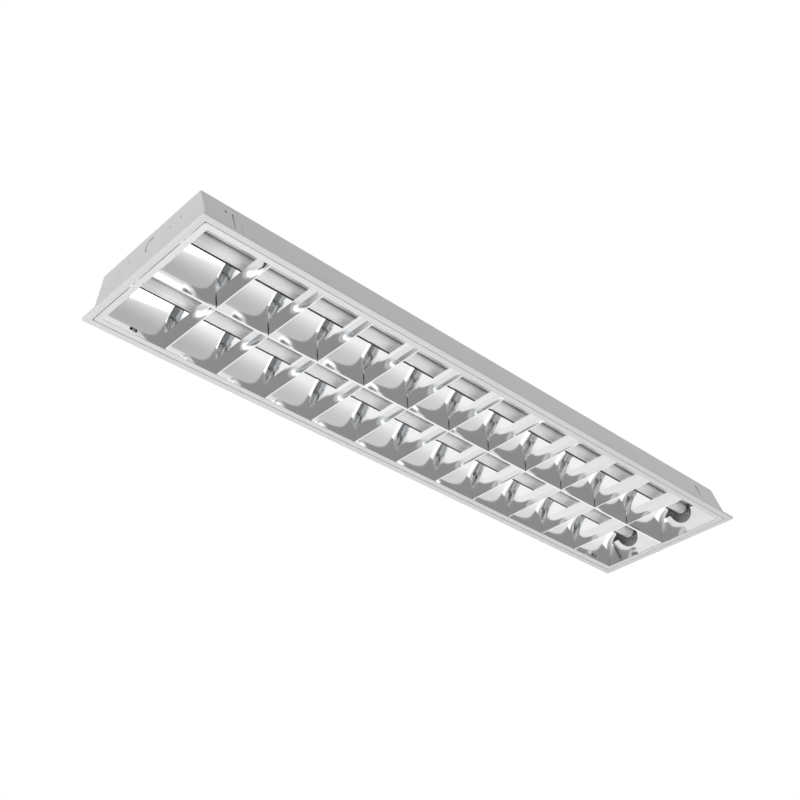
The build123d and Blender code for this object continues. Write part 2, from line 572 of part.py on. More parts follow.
# ---- catches: a guide on the lip, a slide with its knob and tongue, a keeper on the wall ---
slide_inner = catch_y - CATCH_PLATE / 2
slide_outer = catch_y + CATCH_PLATE / 2
guide_floor = lip_top + MIRROR_THICKNESS
guide_wall_top = CATCH_WINDOW_Z - CATCH_WINDOW_HEIGHT / 2 - SLIDE_SLACK
tongue_bottom = guide_wall_top + CATCH_PLATE
tongue_top = tongue_bottom + CATCH_PLATE
knob_inner = cell_y - CATCH_KNOB_REACH
for end_name, end in (("left", -1), ("right", 1)):
    station = end * catch_station
    with BuildPart() as catch_guide:
        with BuildSketch(Plane.YZ.offset(station - GUIDE_LENGTH / 2)):
            with BuildLine():
                Polyline(
                    (slide_inner - SLIDE_GAP - MIRROR_THICKNESS, lip_top),
                    (slide_outer + SLIDE_GAP + MIRROR_THICKNESS, lip_top),
                    (slide_outer + SLIDE_GAP + MIRROR_THICKNESS, guide_wall_top),
                    (slide_outer + SLIDE_GAP, guide_wall_top),
                    (slide_outer + SLIDE_GAP, guide_floor),
                    (slide_inner - SLIDE_GAP, guide_floor),
                    (slide_inner - SLIDE_GAP, guide_wall_top),
                    (slide_inner - SLIDE_GAP - MIRROR_THICKNESS, guide_wall_top), close=True)
            make_face()
        extrude(amount=GUIDE_LENGTH)
    save(catch_guide.part, f"catch_guide_{end_name}")

    with BuildPart() as catch:
        with BuildSketch(Plane.XZ.offset(-slide_inner)):
            with BuildLine():
                Polyline(
                    (station - CATCH_LENGTH / 2, guide_floor + SLIDE_GAP),
                    (station + CATCH_LENGTH / 2, guide_floor + SLIDE_GAP),
                    (station + CATCH_LENGTH / 2, tongue_top),
                    (station + CATCH_LENGTH / 4, CATCH_TOP),
                    (station - CATCH_LENGTH / 4, CATCH_TOP),
                    (station - CATCH_LENGTH / 2, tongue_top), close=True)
            make_face()
        extrude(amount=-CATCH_PLATE)
        with BuildSketch(Plane.XZ.offset(-slide_inner)):
            with Locations((station, CATCH_WINDOW_Z)):
                RectangleRounded(CATCH_KNOB, CATCH_WINDOW_HEIGHT - 2 * KNOB_GAP, KNOB_GAP)
        extrude(amount=slide_inner - knob_inner)
        with BuildSketch(Plane.XY.offset(tongue_bottom)):
            with Locations((station + end * (CATCH_LENGTH - TONGUE_WIDTH) / 2,
                            slide_outer + TONGUE_REACH / 2)):
                Rectangle(TONGUE_WIDTH, TONGUE_REACH)
        extrude(amount=CATCH_PLATE)
    save(catch.part, f"catch_{end_name}")

    ledge_x = station + end * (CATCH_LENGTH / 2 + KEEPER_SIDE_GAP + KEEPER_LEDGE / 2)
    ledge_top = tongue_bottom - SLIDE_SLACK
    leg_bottom = lip_top + CATCH_PLATE
    with BuildPart() as keeper:
        with BuildSketch(Plane.YZ.offset(ledge_x - KEEPER_LEDGE / 2)):
            with BuildLine():
                Polyline(
                    (keeper_inner, ledge_top), (keeper_inner, ledge_top - STEEL),
                    (mouth_y - STEEL, ledge_top - STEEL), (mouth_y - STEEL, leg_bottom),
                    (mouth_y, leg_bottom), (mouth_y, ledge_top), close=True)
            make_face()
        extrude(amount=KEEPER_LEDGE)
    save(keeper.part, f"keeper_{end_name}")

# ---- lamps: glass tube, metal caps with two pins each, and the rotors they turn -------------
for lamp_name, lamp in (("near", -1), ("far", 1)):
    axis = (lamp * lamp_y, lamp_height)
    tube_end = lamp_end - TUBE_INSET
    with BuildPart() as lamp_tube:
        with BuildSketch(Plane.YZ.offset(-tube_end)):
            with Locations(axis):
                Circle(tube_radius)
                Circle(tube_radius - TUBE_WALL, mode=Mode.SUBTRACT)
        extrude(amount=2 * tube_end)
    save(lamp_tube.part, f"lamp_tube_{lamp_name}")

    with BuildPart() as lamp_caps:
        for end in (-1, 1):
            with BuildSketch(Plane.YZ.offset(end * lamp_end)):
                with Locations(axis):
                    Circle(CAP_DIAMETER / 2)
            extrude(amount=-end * CAP_LENGTH)
            with BuildSketch(Plane.YZ.offset(end * tube_end)):
                with Locations(axis):
                    Circle(tube_radius + FIT_GAP)
            extrude(amount=-end * CAP_LENGTH, mode=Mode.SUBTRACT)
    save(lamp_caps.part, f"lamp_caps_{lamp_name}")

    with BuildPart() as lamp_pins:
        for end in (-1, 1):
            with BuildSketch(Plane.YZ.offset(end * lamp_end)):
                with Locations(axis):
                    with GridLocations(PIN_SPACING, 0, 2, 1):
                        Circle(PIN_DIAMETER / 2)
            extrude(amount=end * PIN_LENGTH)
    save(lamp_pins.part, f"lamp_pins_{lamp_name}")

    with BuildPart() as rotors:
        for end in (-1, 1):
            with BuildSketch(Plane.YZ.offset(end * (holder_face + ROTOR_INSET))):
                with Locations(axis):
                    Circle(rotor_radius)
            extrude(amount=end * ROTOR_DEPTH)
            with BuildSketch(Plane.YZ.offset(end * (holder_face + ROTOR_INSET))):
                with Locations(axis):
                    Rectangle(ROTOR_DIAMETER, PIN_DIAMETER + 2 * FIT_GAP)
            extrude(amount=end * (PIN_LENGTH - ROTOR_INSET), mode=Mode.SUBTRACT)
    save(rotors.part, f"rotors_{lamp_name}")

# ---- lamp holders: one behind each end of each lamp, pegged to the end plate ---------------
for end_name, end in (("left", -1), ("right", 1)):
    for lamp_name, lamp in (("near", -1), ("far", 1)):
        axis = (lamp * lamp_y, lamp_height)
        with BuildPart() as lamp_holder:
            with BuildSketch(Plane.YZ.offset(end * holder_face)):
                with BuildLine():
                    Polyline(
                        (lamp * lamp_y - HOLDER_WIDTH / 2, holder_top),
                        (lamp * lamp_y - HOLDER_WIDTH / 2, lamp_height + HOLDER_SHOULDER),
                        (lamp * lamp_y - HOLDER_NOSE / 2, lamp_height),
                        (lamp * lamp_y + HOLDER_NOSE / 2, lamp_height),
                        (lamp * lamp_y + HOLDER_WIDTH / 2, lamp_height + HOLDER_SHOULDER),
                        (lamp * lamp_y + HOLDER_WIDTH / 2, holder_top), close=True)
                make_face()
                with Locations(axis):
                    Circle(HOLDER_NOSE / 2)
            extrude(amount=end * (holder_back - holder_face))
            with BuildSketch(Plane.YZ.offset(end * holder_face)):
                with Locations(axis):
                    Circle(rotor_radius + RUNNING_GAP)
                with Locations((lamp * lamp_y, lamp_height - HOLDER_NOSE / 2)):
                    Rectangle(PIN_SLOT, HOLDER_NOSE)
            extrude(amount=end * (ROTOR_DEPTH + 2 * ROTOR_INSET), mode=Mode.SUBTRACT)
            with BuildSketch(Plane.YZ.offset(end * holder_back)):
                with Locations((lamp * lamp_y, peg_height)):
                    with GridLocations(PEG_SPACING, 0, 2, 1):
                        Circle(PEG_DIAMETER / 2 - FIT_GAP)
            extrude(amount=end * PEG_LENGTH)
        save(lamp_holder.part, f"lamp_holder_{end_name}_{lamp_name}")

# ---- ballast between the rows, screwed up to the tray's top ---------------------------------
with BuildPart() as ballast:
    with BuildSketch(Plane.XY.offset(ceiling)):
        RectangleRounded(BALLAST_LENGTH, BALLAST_WIDTH, BALLAST_CORNER)
    extrude(amount=-BALLAST_HEIGHT)
    with BuildSketch(Plane.XY.offset(ceiling)):
        RectangleRounded(BALLAST_LENGTH + 2 * BALLAST_EAR, BALLAST_WIDTH / 2, 2 * BALLAST_CORNER)
        with GridLocations(BALLAST_LENGTH + BALLAST_EAR, 0, 2, 1):
            Circle(RIVET_DIAMETER / 2, mode=Mode.SUBTRACT)
    extrude(amount=-EAR_THICKNESS)
save(ballast.part, "ballast")

with BuildPart() as ballast_screws:
    for end in (-1, 1):
        head = Plane(origin=(end * (BALLAST_LENGTH + BALLAST_EAR) / 2, 0, ceiling - EAR_THICKNESS))
        with BuildSketch(head):
            Circle(RIVET_HEAD / 2)
        extrude(amount=-SCREW_HEAD)
        with BuildSketch(head):
            Circle(RIVET_DIAMETER / 2)
        extrude(amount=EAR_THICKNESS + STEEL + SCREW_TAIL)
        with BuildSketch(head.offset(-SCREW_HEAD)):
            Rectangle(RIVET_HEAD, DRIVER_SLOT)
        extrude(amount=DRIVER_SLOT_DEPTH, mode=Mode.SUBTRACT)
save(ballast_screws.part, "ballast_screws")

# ---- terminal block, cable grommet and earth stud ------------------------------------------
with BuildPart() as terminal_block:
    with BuildSketch(Plane.XY.offset(ceiling)):
        with Locations((terminal_station, 0)):
            Rectangle(TERMINAL_LENGTH, TERMINAL_WIDTH)
    extrude(amount=-TERMINAL_HEIGHT)
    # three wire funnels on the supply side and one screw well above each
    with BuildSketch(Plane.YZ.offset(terminal_station - TERMINAL_LENGTH / 2)):
        with Locations((0, terminal_wire_z)):
            with GridLocations(TERMINAL_SPACING, 0, 3, 1):
                Circle(TERMINAL_FUNNEL / 2)
    extrude(amount=TERMINAL_LENGTH / 3, mode=Mode.SUBTRACT)
    with BuildSketch(Plane.XY.offset(ceiling - TERMINAL_HEIGHT)):
        with Locations((terminal_station, 0)):
            with GridLocations(TERMINAL_LENGTH / 2, TERMINAL_SPACING, 2, 3):
                Circle(TERMINAL_FUNNEL / 2)
    extrude(amount=TERMINAL_WELL, mode=Mode.SUBTRACT)
save(terminal_block.part, "terminal_block")

with BuildPart() as cable_grommet:
    with BuildSketch(Plane.XY.offset(ceiling - GROMMET_LIP)):
        with Locations((entry_station, 0)):
            Circle(ENTRY_DIAMETER / 2 + GROMMET_LIP)
    extrude(amount=GROMMET_LIP)
    with BuildSketch(Plane.XY.offset(ceiling)):
        with Locations((entry_station, 0)):
            Circle(ENTRY_DIAMETER / 2 - FIT_GAP)
    extrude(amount=STEEL)
    with BuildSketch(Plane.XY.offset(TRAY_HEIGHT)):
        with Locations((entry_station, 0)):
            Circle(ENTRY_DIAMETER / 2 + GROMMET_LIP)
    extrude(amount=GROMMET_LIP)
    with BuildSketch(Plane.XY.offset(ceiling - GROMMET_LIP)):
        with Locations((entry_station, 0)):
            Circle(CABLE_BORE / 2)
    extrude(amount=2 * GROMMET_LIP + STEEL, mode=Mode.SUBTRACT)
save(cable_grommet.part, "cable_grommet")

with BuildPart() as earth_stud:
    with BuildSketch(Plane.XY.offset(TRAY_HEIGHT + STUD_HEAD)):
        with Locations((earth_station, EARTH_Y)):
            Circle(STUD_DIAMETER / 2 - FIT_GAP)
    extrude(amount=-STUD_LENGTH)
    with BuildSketch(Plane.XY.offset(TRAY_HEIGHT)):
        with Locations((earth_station, EARTH_Y)):
            Circle(STUD_DIAMETER)
    extrude(amount=STUD_HEAD)
    with BuildSketch(Plane.XY.offset(ceiling)):
        with Locations((earth_station, EARTH_Y)):
            RegularPolygon(STUD_DIAMETER, 6)
    extrude(amount=-STUD_NUT)
save(earth_stud.part, "earth_stud")

# ---- wiring: sleeved pairs to the four holders and three short leads to the terminals -------
wire_z = ceiling - WIRE_DROP
with BuildPart() as wiring:
    for end in (-1, 1):
        for lamp in (-1, 1):
            with BuildLine() as route:
                FilletPolyline(
                    (end * BALLAST_LENGTH / 2, lamp * WIRE_LANE, wire_z),
                    (end * (holder_face - WIRE_SPREAD_LENGTH), lamp * WIRE_LANE, wire_z),
                    (end * (holder_face - WIRE_END_LENGTH), lamp * lamp_y, wire_z),
                    (end * holder_face, lamp * lamp_y, wire_z), radius=WIRE_BEND)
            with BuildSketch(Plane(origin=(end * BALLAST_LENGTH / 2, lamp * WIRE_LANE, wire_z),
                                   z_dir=(end, 0, 0))):
                Circle(WIRE_DIAMETER / 2)
            sweep(path=route.line)
    with BuildSketch(Plane.YZ.offset(terminal_station + TERMINAL_LENGTH / 2)):
        with Locations((0, terminal_wire_z)):
            with GridLocations(TERMINAL_SPACING, 0, 3, 1):
                Circle(WIRE_DIAMETER / 2)
    extrude(amount=-BALLAST_LENGTH / 2 - terminal_station - TERMINAL_LENGTH / 2)
save(wiring.part, "wiring")

with BuildPart() as wire_clips:
    for station in (-clip_station, clip_station):
        with BuildSketch(Plane.YZ.offset(station - CLIP_LENGTH / 2)):
            with Locations((0, ceiling - CLIP_HEIGHT / 2)):
                Rectangle(2 * (WIRE_LANE + CLIP_EDGE) + WIRE_DIAMETER, CLIP_HEIGHT)
            with Locations((-WIRE_LANE, wire_z), (WIRE_LANE, wire_z)):
                Circle(WIRE_DIAMETER / 2 + FIT_GAP, mode=Mode.SUBTRACT)
        extrude(amount=CLIP_LENGTH)
save(wire_clips.part, "wire_clips")

# ---- rivets that hold the end plates under the tray's top ----------------------------------
with BuildPart() as rivets:
    with BuildSketch(Plane.XY.offset(ceiling - STEEL)):
        with GridLocations(2 * rivet_x, 2 * rivet_y, 2, 2):
            Circle(RIVET_DIAMETER / 2)
    extrude(amount=2 * STEEL)
    with BuildSketch(Plane.XY.offset(TRAY_HEIGHT)):
        with GridLocations(2 * rivet_x, 2 * rivet_y, 2, 2):
            Circle(RIVET_HEAD / 2)
    extrude(amount=RIVET_HEAD_HEIGHT, taper=RIVET_TAPER)
    with BuildSketch(Plane.XY.offset(ceiling - STEEL)):
        with GridLocations(2 * rivet_x, 2 * rivet_y, 2, 2):
            Circle(RIVET_TAIL_DIAMETER / 2)
    extrude(amount=-RIVET_TAIL)
save(rivets.part, "rivets")
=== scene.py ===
import math

import bmesh
import bpy
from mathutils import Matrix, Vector


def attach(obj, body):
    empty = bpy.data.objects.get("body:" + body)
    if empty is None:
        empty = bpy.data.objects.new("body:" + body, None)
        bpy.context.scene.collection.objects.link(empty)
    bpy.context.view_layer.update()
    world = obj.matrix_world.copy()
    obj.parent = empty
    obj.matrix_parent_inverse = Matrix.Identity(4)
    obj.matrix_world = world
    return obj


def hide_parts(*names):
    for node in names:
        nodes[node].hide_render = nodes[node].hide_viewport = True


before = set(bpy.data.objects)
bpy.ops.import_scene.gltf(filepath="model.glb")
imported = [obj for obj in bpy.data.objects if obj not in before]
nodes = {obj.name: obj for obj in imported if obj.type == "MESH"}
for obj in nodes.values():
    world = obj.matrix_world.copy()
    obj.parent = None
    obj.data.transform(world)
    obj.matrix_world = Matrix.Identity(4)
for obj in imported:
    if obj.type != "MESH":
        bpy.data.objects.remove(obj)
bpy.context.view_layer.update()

# ---- flange -------------------------------------------------------------------------------
# The flange is a pressed steel ring that lies on the ceiling grid. Its outer edge is turned up
# as a hem, its inner edge rolls up into the mouth, and it is powder coated white with the tray.
mouth_x = 0.6110
mouth_y = 0.14225
flange_band = 0.0115
flange_sheet = 0.0007
hem_height = 0.0040
hem_roll = 0.0012
mouth_roll = 0.0007
hem_foot_rise = 0.0004
hem_foot_run = 0.0006
outer_corner = 0.0022
inner_corner = 0.0006
corner_closing = 0.15
roll_steps = 4
corner_steps = 6


def ring_corner_path(half_x, half_y, corner):
    """Points round a rounded rectangle, corner_steps + 1 of them at each corner."""
    points = []
    for corner_number, (sx, sy) in enumerate(((1, 1), (-1, 1), (-1, -1), (1, -1))):
        for step in range(corner_steps + 1):
            turn = math.radians(90 * corner_number + 90 * step / corner_steps)
            points.append((sx * (half_x - corner) + corner * math.cos(turn),
                           sy * (half_y - corner) + corner * math.sin(turn)))
    return points


def mesh_piece(name, verts, faces, finish, sharp_from=38):
    """A new piece from points and faces, smooth but for edges above an angle."""
    mesh = bpy.data.meshes.new(name)
    mesh.from_pydata(verts, [], faces)
    bm = bmesh.new()
    bm.from_mesh(mesh)
    bmesh.ops.remove_doubles(bm, verts=bm.verts, dist=1e-6)
    bmesh.ops.dissolve_degenerate(bm, edges=bm.edges, dist=1e-6)
    bmesh.ops.recalc_face_normals(bm, faces=bm.faces)
    for face in bm.faces:
        face.smooth = True
    bm.to_mesh(mesh)
    bm.free()
    mesh.set_sharp_from_angle(angle=math.radians(sharp_from))
    piece = bpy.data.objects.new(name, mesh)
    bpy.context.scene.collection.objects.link(piece)
    piece.data.materials.append(finish)
    return piece


def powder_skin_group():
    """Fine pebbled skin and faint handling marks of a powder coat."""
    group = bpy.data.node_groups.new("powder_skin", "ShaderNodeTree")
    pebble_size = group.interface.new_socket("Pebble Scale", in_out="INPUT",
                                             socket_type="NodeSocketFloat")
    pebble_size.default_value = 900.0
    group.interface.new_socket("Height", in_out="OUTPUT", socket_type="NodeSocketFloat")
    group.interface.new_socket("Marks", in_out="OUTPUT", socket_type="NodeSocketFloat")
    tree, links = group.nodes, group.links
    start = tree.new("NodeGroupInput")
    end = tree.new("NodeGroupOutput")
    place = tree.new("ShaderNodeTexCoord")
    pebbles = tree.new("ShaderNodeTexNoise")
    pebbles.inputs["Detail"].default_value = 2.0
    links.new(place.outputs["Object"], pebbles.inputs["Vector"])
    links.new(start.outputs["Pebble Scale"], pebbles.inputs["Scale"])
    links.new(pebbles.outputs["Fac"], end.inputs["Height"])
    smears = tree.new("ShaderNodeTexNoise")
    smears.inputs["Scale"].default_value = 14.0
    smears.inputs["Detail"].default_value = 6.0
    smears.inputs["Roughness"].default_value = 0.65
    links.new(place.outputs["Object"], smears.inputs["Vector"])
    links.new(smears.outputs["Fac"], end.inputs["Marks"])
    return group


powder_skin = powder_skin_group()


def painted_finish(name, colour, marked_colour, roughness, pebble_scale):
    material = bpy.data.materials.new(name)
    material.use_nodes = True
    tree, links = material.node_tree.nodes, material.node_tree.links
    shader = tree["Principled BSDF"]
    shader.inputs["Roughness"].default_value = roughness
    shader.inputs["Coat Weight"].default_value = 0.15
    shader.inputs["Coat Roughness"].default_value = 0.25
    skin = tree.new("ShaderNodeGroup")
    skin.node_tree = powder_skin
    skin.inputs["Pebble Scale"].default_value = pebble_scale
    tint = tree.new("ShaderNodeValToRGB")
    tint.color_ramp.elements[0].position = 0.30
    tint.color_ramp.elements[0].color = (*marked_colour, 1)
    tint.color_ramp.elements[1].position = 0.62
    tint.color_ramp.elements[1].color = (*colour, 1)
    links.new(skin.outputs["Marks"], tint.inputs["Fac"])
    links.new(tint.outputs["Color"], shader.inputs["Base Color"])
    bump = tree.new("ShaderNodeBump")
    bump.inputs["Strength"].default_value = 0.12
    bump.inputs["Distance"].default_value = 0.0002
    links.new(skin.outputs["Height"], bump.inputs["Height"])
    links.new(bump.outputs["Normal"], shader.inputs["Normal"])
    return material


white_paint = painted_finish("white_paint", (0.84, 0.84, 0.845), (0.80, 0.80, 0.80), 0.42, 900.0)

flange_profile = []
for step in range(roll_steps, -1, -1):
    turn = math.radians(90 * step / roll_steps)
    flange_profile.append((hem_roll * (1 - math.cos(turn)), hem_roll * (1 - math.sin(turn))))
flange_profile += [(0.0, hem_height), (flange_sheet, hem_height),
                   (flange_sheet, flange_sheet + hem_foot_rise),
                   (flange_sheet + hem_foot_run, flange_sheet),
                   (flange_band, flange_sheet)]
for step in range(roll_steps, -1, -1):
    turn = math.radians(90 * step / roll_steps)
    flange_profile.append((flange_band - mouth_roll + mouth_roll * math.sin(turn),
                           mouth_roll * (1 - math.cos(turn))))

ring_verts = []
for inset, height in flange_profile:
    for x, y in ring_corner_path(mouth_x + flange_band - inset, mouth_y + flange_band - inset,
                                 max(outer_corner - inset * corner_closing, inner_corner)):
        ring_verts.append((x, y, height))
ring_length = 4 * (corner_steps + 1)
ring_faces = []
for row in range(len(flange_profile)):
    below = row * ring_length
    above = ((row + 1) % len(flange_profile)) * ring_length
    for place in range(ring_length):
        following = (place + 1) % ring_length
        ring_faces.append((below + place, below + following, above + following, above + place))
flange_ring = mesh_piece("flange_ring", ring_verts, ring_faces, white_paint)
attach(flange_ring, "housing")
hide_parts("flange_left", "flange_right", "flange_near", "flange_far")

# ---- tray ---------------------------------------------------------------------------------
# The long sides rise as short upright collars and then lean in to a flat top. All of it is
# folded sheet steel with the flange's white powder coat, and both ends are riveted in.
collar_height = 0.0120

for side_name, side in (("near", -1), ("far", 1)):
    inner, outer = side * mouth_y, side * (mouth_y + flange_sheet)
    collar_verts = [(x, y, z) for x in (-mouth_x, mouth_x) for y, z in (
        (inner, flange_sheet), (outer, flange_sheet), (outer, collar_height),
        (inner, collar_height))]
    collar_faces = [(0, 1, 2, 3), (7, 6, 5, 4), (0, 4, 5, 1), (1, 5, 6, 2), (2, 6, 7, 3),
                    (3, 7, 4, 0)]
    collar = mesh_piece(f"collar_{side_name}", collar_verts, collar_faces, white_paint)
    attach(collar, "housing")
for cad_name in ("tray_side_near", "tray_side_far", "tray_top", "end_plate_left",
                 "end_plate_right"):
    nodes[cad_name].data.materials.clear()
    nodes[cad_name].data.materials.append(white_paint)

# ---- side reflectors ----------------------------------------------------------------------
# Bowed aluminium sheets, bright anodised so that they mirror the lamps. Each runs the length of
# the louvre, its foot lies on the frame's lip, and the far one has two windows for the catches.
cell_x = 0.5996
cell_y = 0.13085
lip_top = 0.0014
mirror_sheet = 0.0006
mirror_top = 0.0473
mirror_head_y = 0.0830
reflector_bow = 0.0092
catch_station = 0.5481
catch_window_width = 0.0130
catch_window_low = 0.0053
catch_window_high = 0.0099
sheet_rows = 26
sheet_columns = 60


def rolled_grain_group():
    """Fine lines that rolling leaves along a sheet, and its faint long waves."""
    group = bpy.data.node_groups.new("rolled_grain", "ShaderNodeTree")
    stretch = group.interface.new_socket("Grain Stretch", in_out="INPUT",
                                         socket_type="NodeSocketVector")
    stretch.default_value = (30.0, 2200.0, 2200.0)
    group.interface.new_socket("Lines", in_out="OUTPUT", socket_type="NodeSocketFloat")
    group.interface.new_socket("Waves", in_out="OUTPUT", socket_type="NodeSocketFloat")
    tree, links = group.nodes, group.links
    start = tree.new("NodeGroupInput")
    end = tree.new("NodeGroupOutput")
    place = tree.new("ShaderNodeTexCoord")
    scale = tree.new("ShaderNodeVectorMath")
    scale.operation = "MULTIPLY"
    links.new(place.outputs["Object"], scale.inputs[0])
    links.new(start.outputs["Grain Stretch"], scale.inputs[1])
    lines = tree.new("ShaderNodeTexNoise")
    lines.inputs["Scale"].default_value = 1.0
    lines.inputs["Detail"].default_value = 3.0
    links.new(scale.outputs["Vector"], lines.inputs["Vector"])
    links.new(lines.outputs["Fac"], end.inputs["Lines"])
    waves = tree.new("ShaderNodeTexNoise")
    waves.inputs["Scale"].default_value = 9.0
    waves.inputs["Detail"].default_value = 1.0
    links.new(place.outputs["Object"], waves.inputs["Vector"])
    links.new(waves.outputs["Fac"], end.inputs["Waves"])
    return group


rolled_grain = rolled_grain_group()


def sheet_metal_finish(name, colour, roughness, grain_stretch, line_strength, wave_strength):
    material = bpy.data.materials.new(name)
    material.use_nodes = True
    tree, links = material.node_tree.nodes, material.node_tree.links
    shader = tree["Principled BSDF"]
    shader.inputs["Metallic"].default_value = 1.0
    shader.inputs["Base Color"].default_value = (*colour, 1)
    grain = tree.new("ShaderNodeGroup")
    grain.node_tree = rolled_grain
    grain.inputs["Grain Stretch"].default_value = grain_stretch
    dull = tree.new("ShaderNodeMapRange")
    dull.inputs["To Min"].default_value = roughness * 0.75
    dull.inputs["To Max"].default_value = roughness * 1.25
    links.new(grain.outputs["Lines"], dull.inputs["Value"])
    links.new(dull.outputs["Result"], shader.inputs["Roughness"])
    long_waves = tree.new("ShaderNodeBump")
    long_waves.inputs["Strength"].default_value = wave_strength
    long_waves.inputs["Distance"].default_value = 0.001
    links.new(grain.outputs["Waves"], long_waves.inputs["Height"])
    fine_lines = tree.new("ShaderNodeBump")
    fine_lines.inputs["Strength"].default_value = line_strength
    fine_lines.inputs["Distance"].default_value = 0.00002
    links.new(grain.outputs["Lines"], fine_lines.inputs["Height"])
    links.new(long_waves.outputs["Normal"], fine_lines.inputs["Normal"])
    links.new(fine_lines.outputs["Normal"], shader.inputs["Normal"])
    return material


mirror_metal = sheet_metal_finish("mirror_metal", (0.86, 0.865, 0.87), 0.09,
                                  (20.0, 1800.0, 1800.0), 0.25, 0.25)


def bow_line(foot, head, bow):
    """A function that gives a bowed section's offset and outward normal at a height."""
    start, end = Vector(foot), Vector(head)
    chord = end - start
    across = Vector((-chord.y, chord.x)).normalized() * (1 if bow > 0 else -1)
    rise = abs(bow)
    radius = (chord.length_squared / 4 + rise ** 2) / (2 * rise)
    centre = (start + end) / 2 + across * (rise - radius)
    bulge = 1 if across.x > 0 else -1

    def at(height):
        out = centre.x + bulge * math.sqrt(radius ** 2 - (height - centre.y) ** 2)
        normal = (Vector((out, height)) - centre).normalized()
        return out, normal
    return at


def spread(low, high, count):
    return [low + (high - low) * number / count for number in range(count + 1)]


def sheet_faces(front, back, open_cells=()):
    """Points and faces of a sheet between two grids, with rims round every open edge."""
    rows, columns = len(front), len(front[0])
    verts = [p for row in front for p in row] + [p for row in back for p in row]
    offset = rows * columns
    faces, edges = [], {}
    for r in range(rows - 1):
        for c in range(columns - 1):
            if (r, c) in open_cells:
                continue
            corners = [r * columns + c, r * columns + c + 1,
                       (r + 1) * columns + c + 1, (r + 1) * columns + c]
            faces.append(tuple(corners))
            faces.append(tuple(offset + corner for corner in reversed(corners)))
            for one, two in zip(corners, corners[1:] + corners[:1]):
                edges[(one, two)] = True
    for one, two in edges:
        if (two, one) not in edges:
            faces.append((two, one, offset + one, offset + two))
    return verts, faces


def finish_louvre_piece(piece, cad_name):
    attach(piece, "louvre")
    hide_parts(cad_name)


side_line = bow_line((cell_y, lip_top), (mirror_head_y, mirror_top), -reflector_bow)
for side_name, side in (("near", -1), ("far", 1)):
    heights = sorted(set(spread(lip_top, mirror_top, sheet_rows)
                         + [catch_window_low, catch_window_high]))
    stations = spread(-cell_x, cell_x, sheet_columns)
    open_cells = set()
    if side > 0:
        for middle in (-catch_station, catch_station):
            stations += [middle - catch_window_width / 2, middle + catch_window_width / 2]
        stations = sorted(stations)
        for r in range(len(heights) - 1):
            for c in range(len(stations) - 1):
                height = (heights[r] + heights[r + 1]) / 2
                station = abs(stations[c] + stations[c + 1]) / 2
                if catch_window_low < height < catch_window_high \
                        and abs(station - catch_station) < catch_window_width / 2:
                    open_cells.add((r, c))
    front, back = [], []
    for height in heights:
        out, normal = side_line(height)
        front.append([(x, side * out, height) for x in stations])
        back.append([(x, side * (out + normal.x * mirror_sheet), height + normal.y * mirror_sheet)
                     for x in stations])
    verts, faces = sheet_faces(front, back, open_cells)
    side_reflector = mesh_piece(f"side_reflector_sheet_{side_name}", verts, faces, mirror_metal)
    finish_louvre_piece(side_reflector, f"side_reflector_{side_name}")

# ---- centre reflector ---------------------------------------------------------------------
# One long folded V of the same mirror sheet between the two lamps. The cross blades pass
# through slots that are punched in both of its wings before it is folded.
centre_foot = 0.0040
centre_head_y = 0.0470
slot_clear = 0.0003
cells_in_row = 12
end_cell_extra = 0.0132
blade_pitch = 2 * (cell_x - end_cell_extra) / cells_in_row
blade_foot = 0.0022
blade_width = 0.0198
blade_top = 0.0224
blade_stations = [(number - cells_in_row / 2) * blade_pitch for number in range(1, cells_in_row)]
slot_rows = 12
wing_rows = 16
land_columns = 5

centre_line = bow_line((centre_foot / 2, lip_top), (centre_head_y, mirror_top), reflector_bow)
slot_top = blade_top + slot_clear
heights = spread(lip_top, slot_top, slot_rows) + spread(slot_top, mirror_top, wing_rows)[1:]


def slot_half_width(height):
    share = (min(height, slot_top) - lip_top) / (blade_top - lip_top)
    return blade_foot / 2 + slot_clear + share * (blade_width - blade_foot) / 2


verts, faces = [], []
for side in (-1, 1):
    front, back, open_cells = [], [], set()
    for r, height in enumerate(heights):
        half = slot_half_width(height)
        edges = [-cell_x] + [s + d for s in blade_stations for d in (-half, half)] + [cell_x]
        stations = []
        for number in range(len(edges) - 1):
            part = spread(edges[number], edges[number + 1], 1 if number % 2 else land_columns)
            if number % 2 and height < slot_top - 1e-6:
                open_cells.add((r, len(stations)))
            stations += part[:-1]
        stations.append(edges[-1])
        out, normal = centre_line(height)
        front.append([(x, side * out, height) for x in stations])
        back.append([(x, side * (out + normal.x * mirror_sheet), height + normal.y * mirror_sheet)
                     for x in stations])
    wing_verts, wing_faces = sheet_faces(front, back, open_cells)
    faces += [tuple(len(verts) + corner for corner in face) for face in wing_faces]
    verts += wing_verts
for gap_start, gap_end in zip([-cell_x] + [s + slot_half_width(lip_top) for s in blade_stations],
                              [s - slot_half_width(lip_top) for s in blade_stations] + [cell_x]):
    low, high = lip_top, lip_top + mirror_sheet
    strip = [(gap_start, -centre_foot / 2, low), (gap_end, -centre_foot / 2, low),
             (gap_end, centre_foot / 2, low), (gap_start, centre_foot / 2, low)]
    strip += [(x, y, high) for x, y, _ in strip]
    faces += [tuple(len(verts) + corner for corner in face) for face in
              ((3, 2, 1, 0), (4, 5, 6, 7), (0, 1, 5, 4), (1, 2, 6, 5), (2, 3, 7, 6), (3, 0, 4, 7))]
    verts += strip
centre_reflector = mesh_piece("centre_reflector_fold", verts, faces, mirror_metal)
finish_louvre_piece(centre_reflector, "centre_reflector")

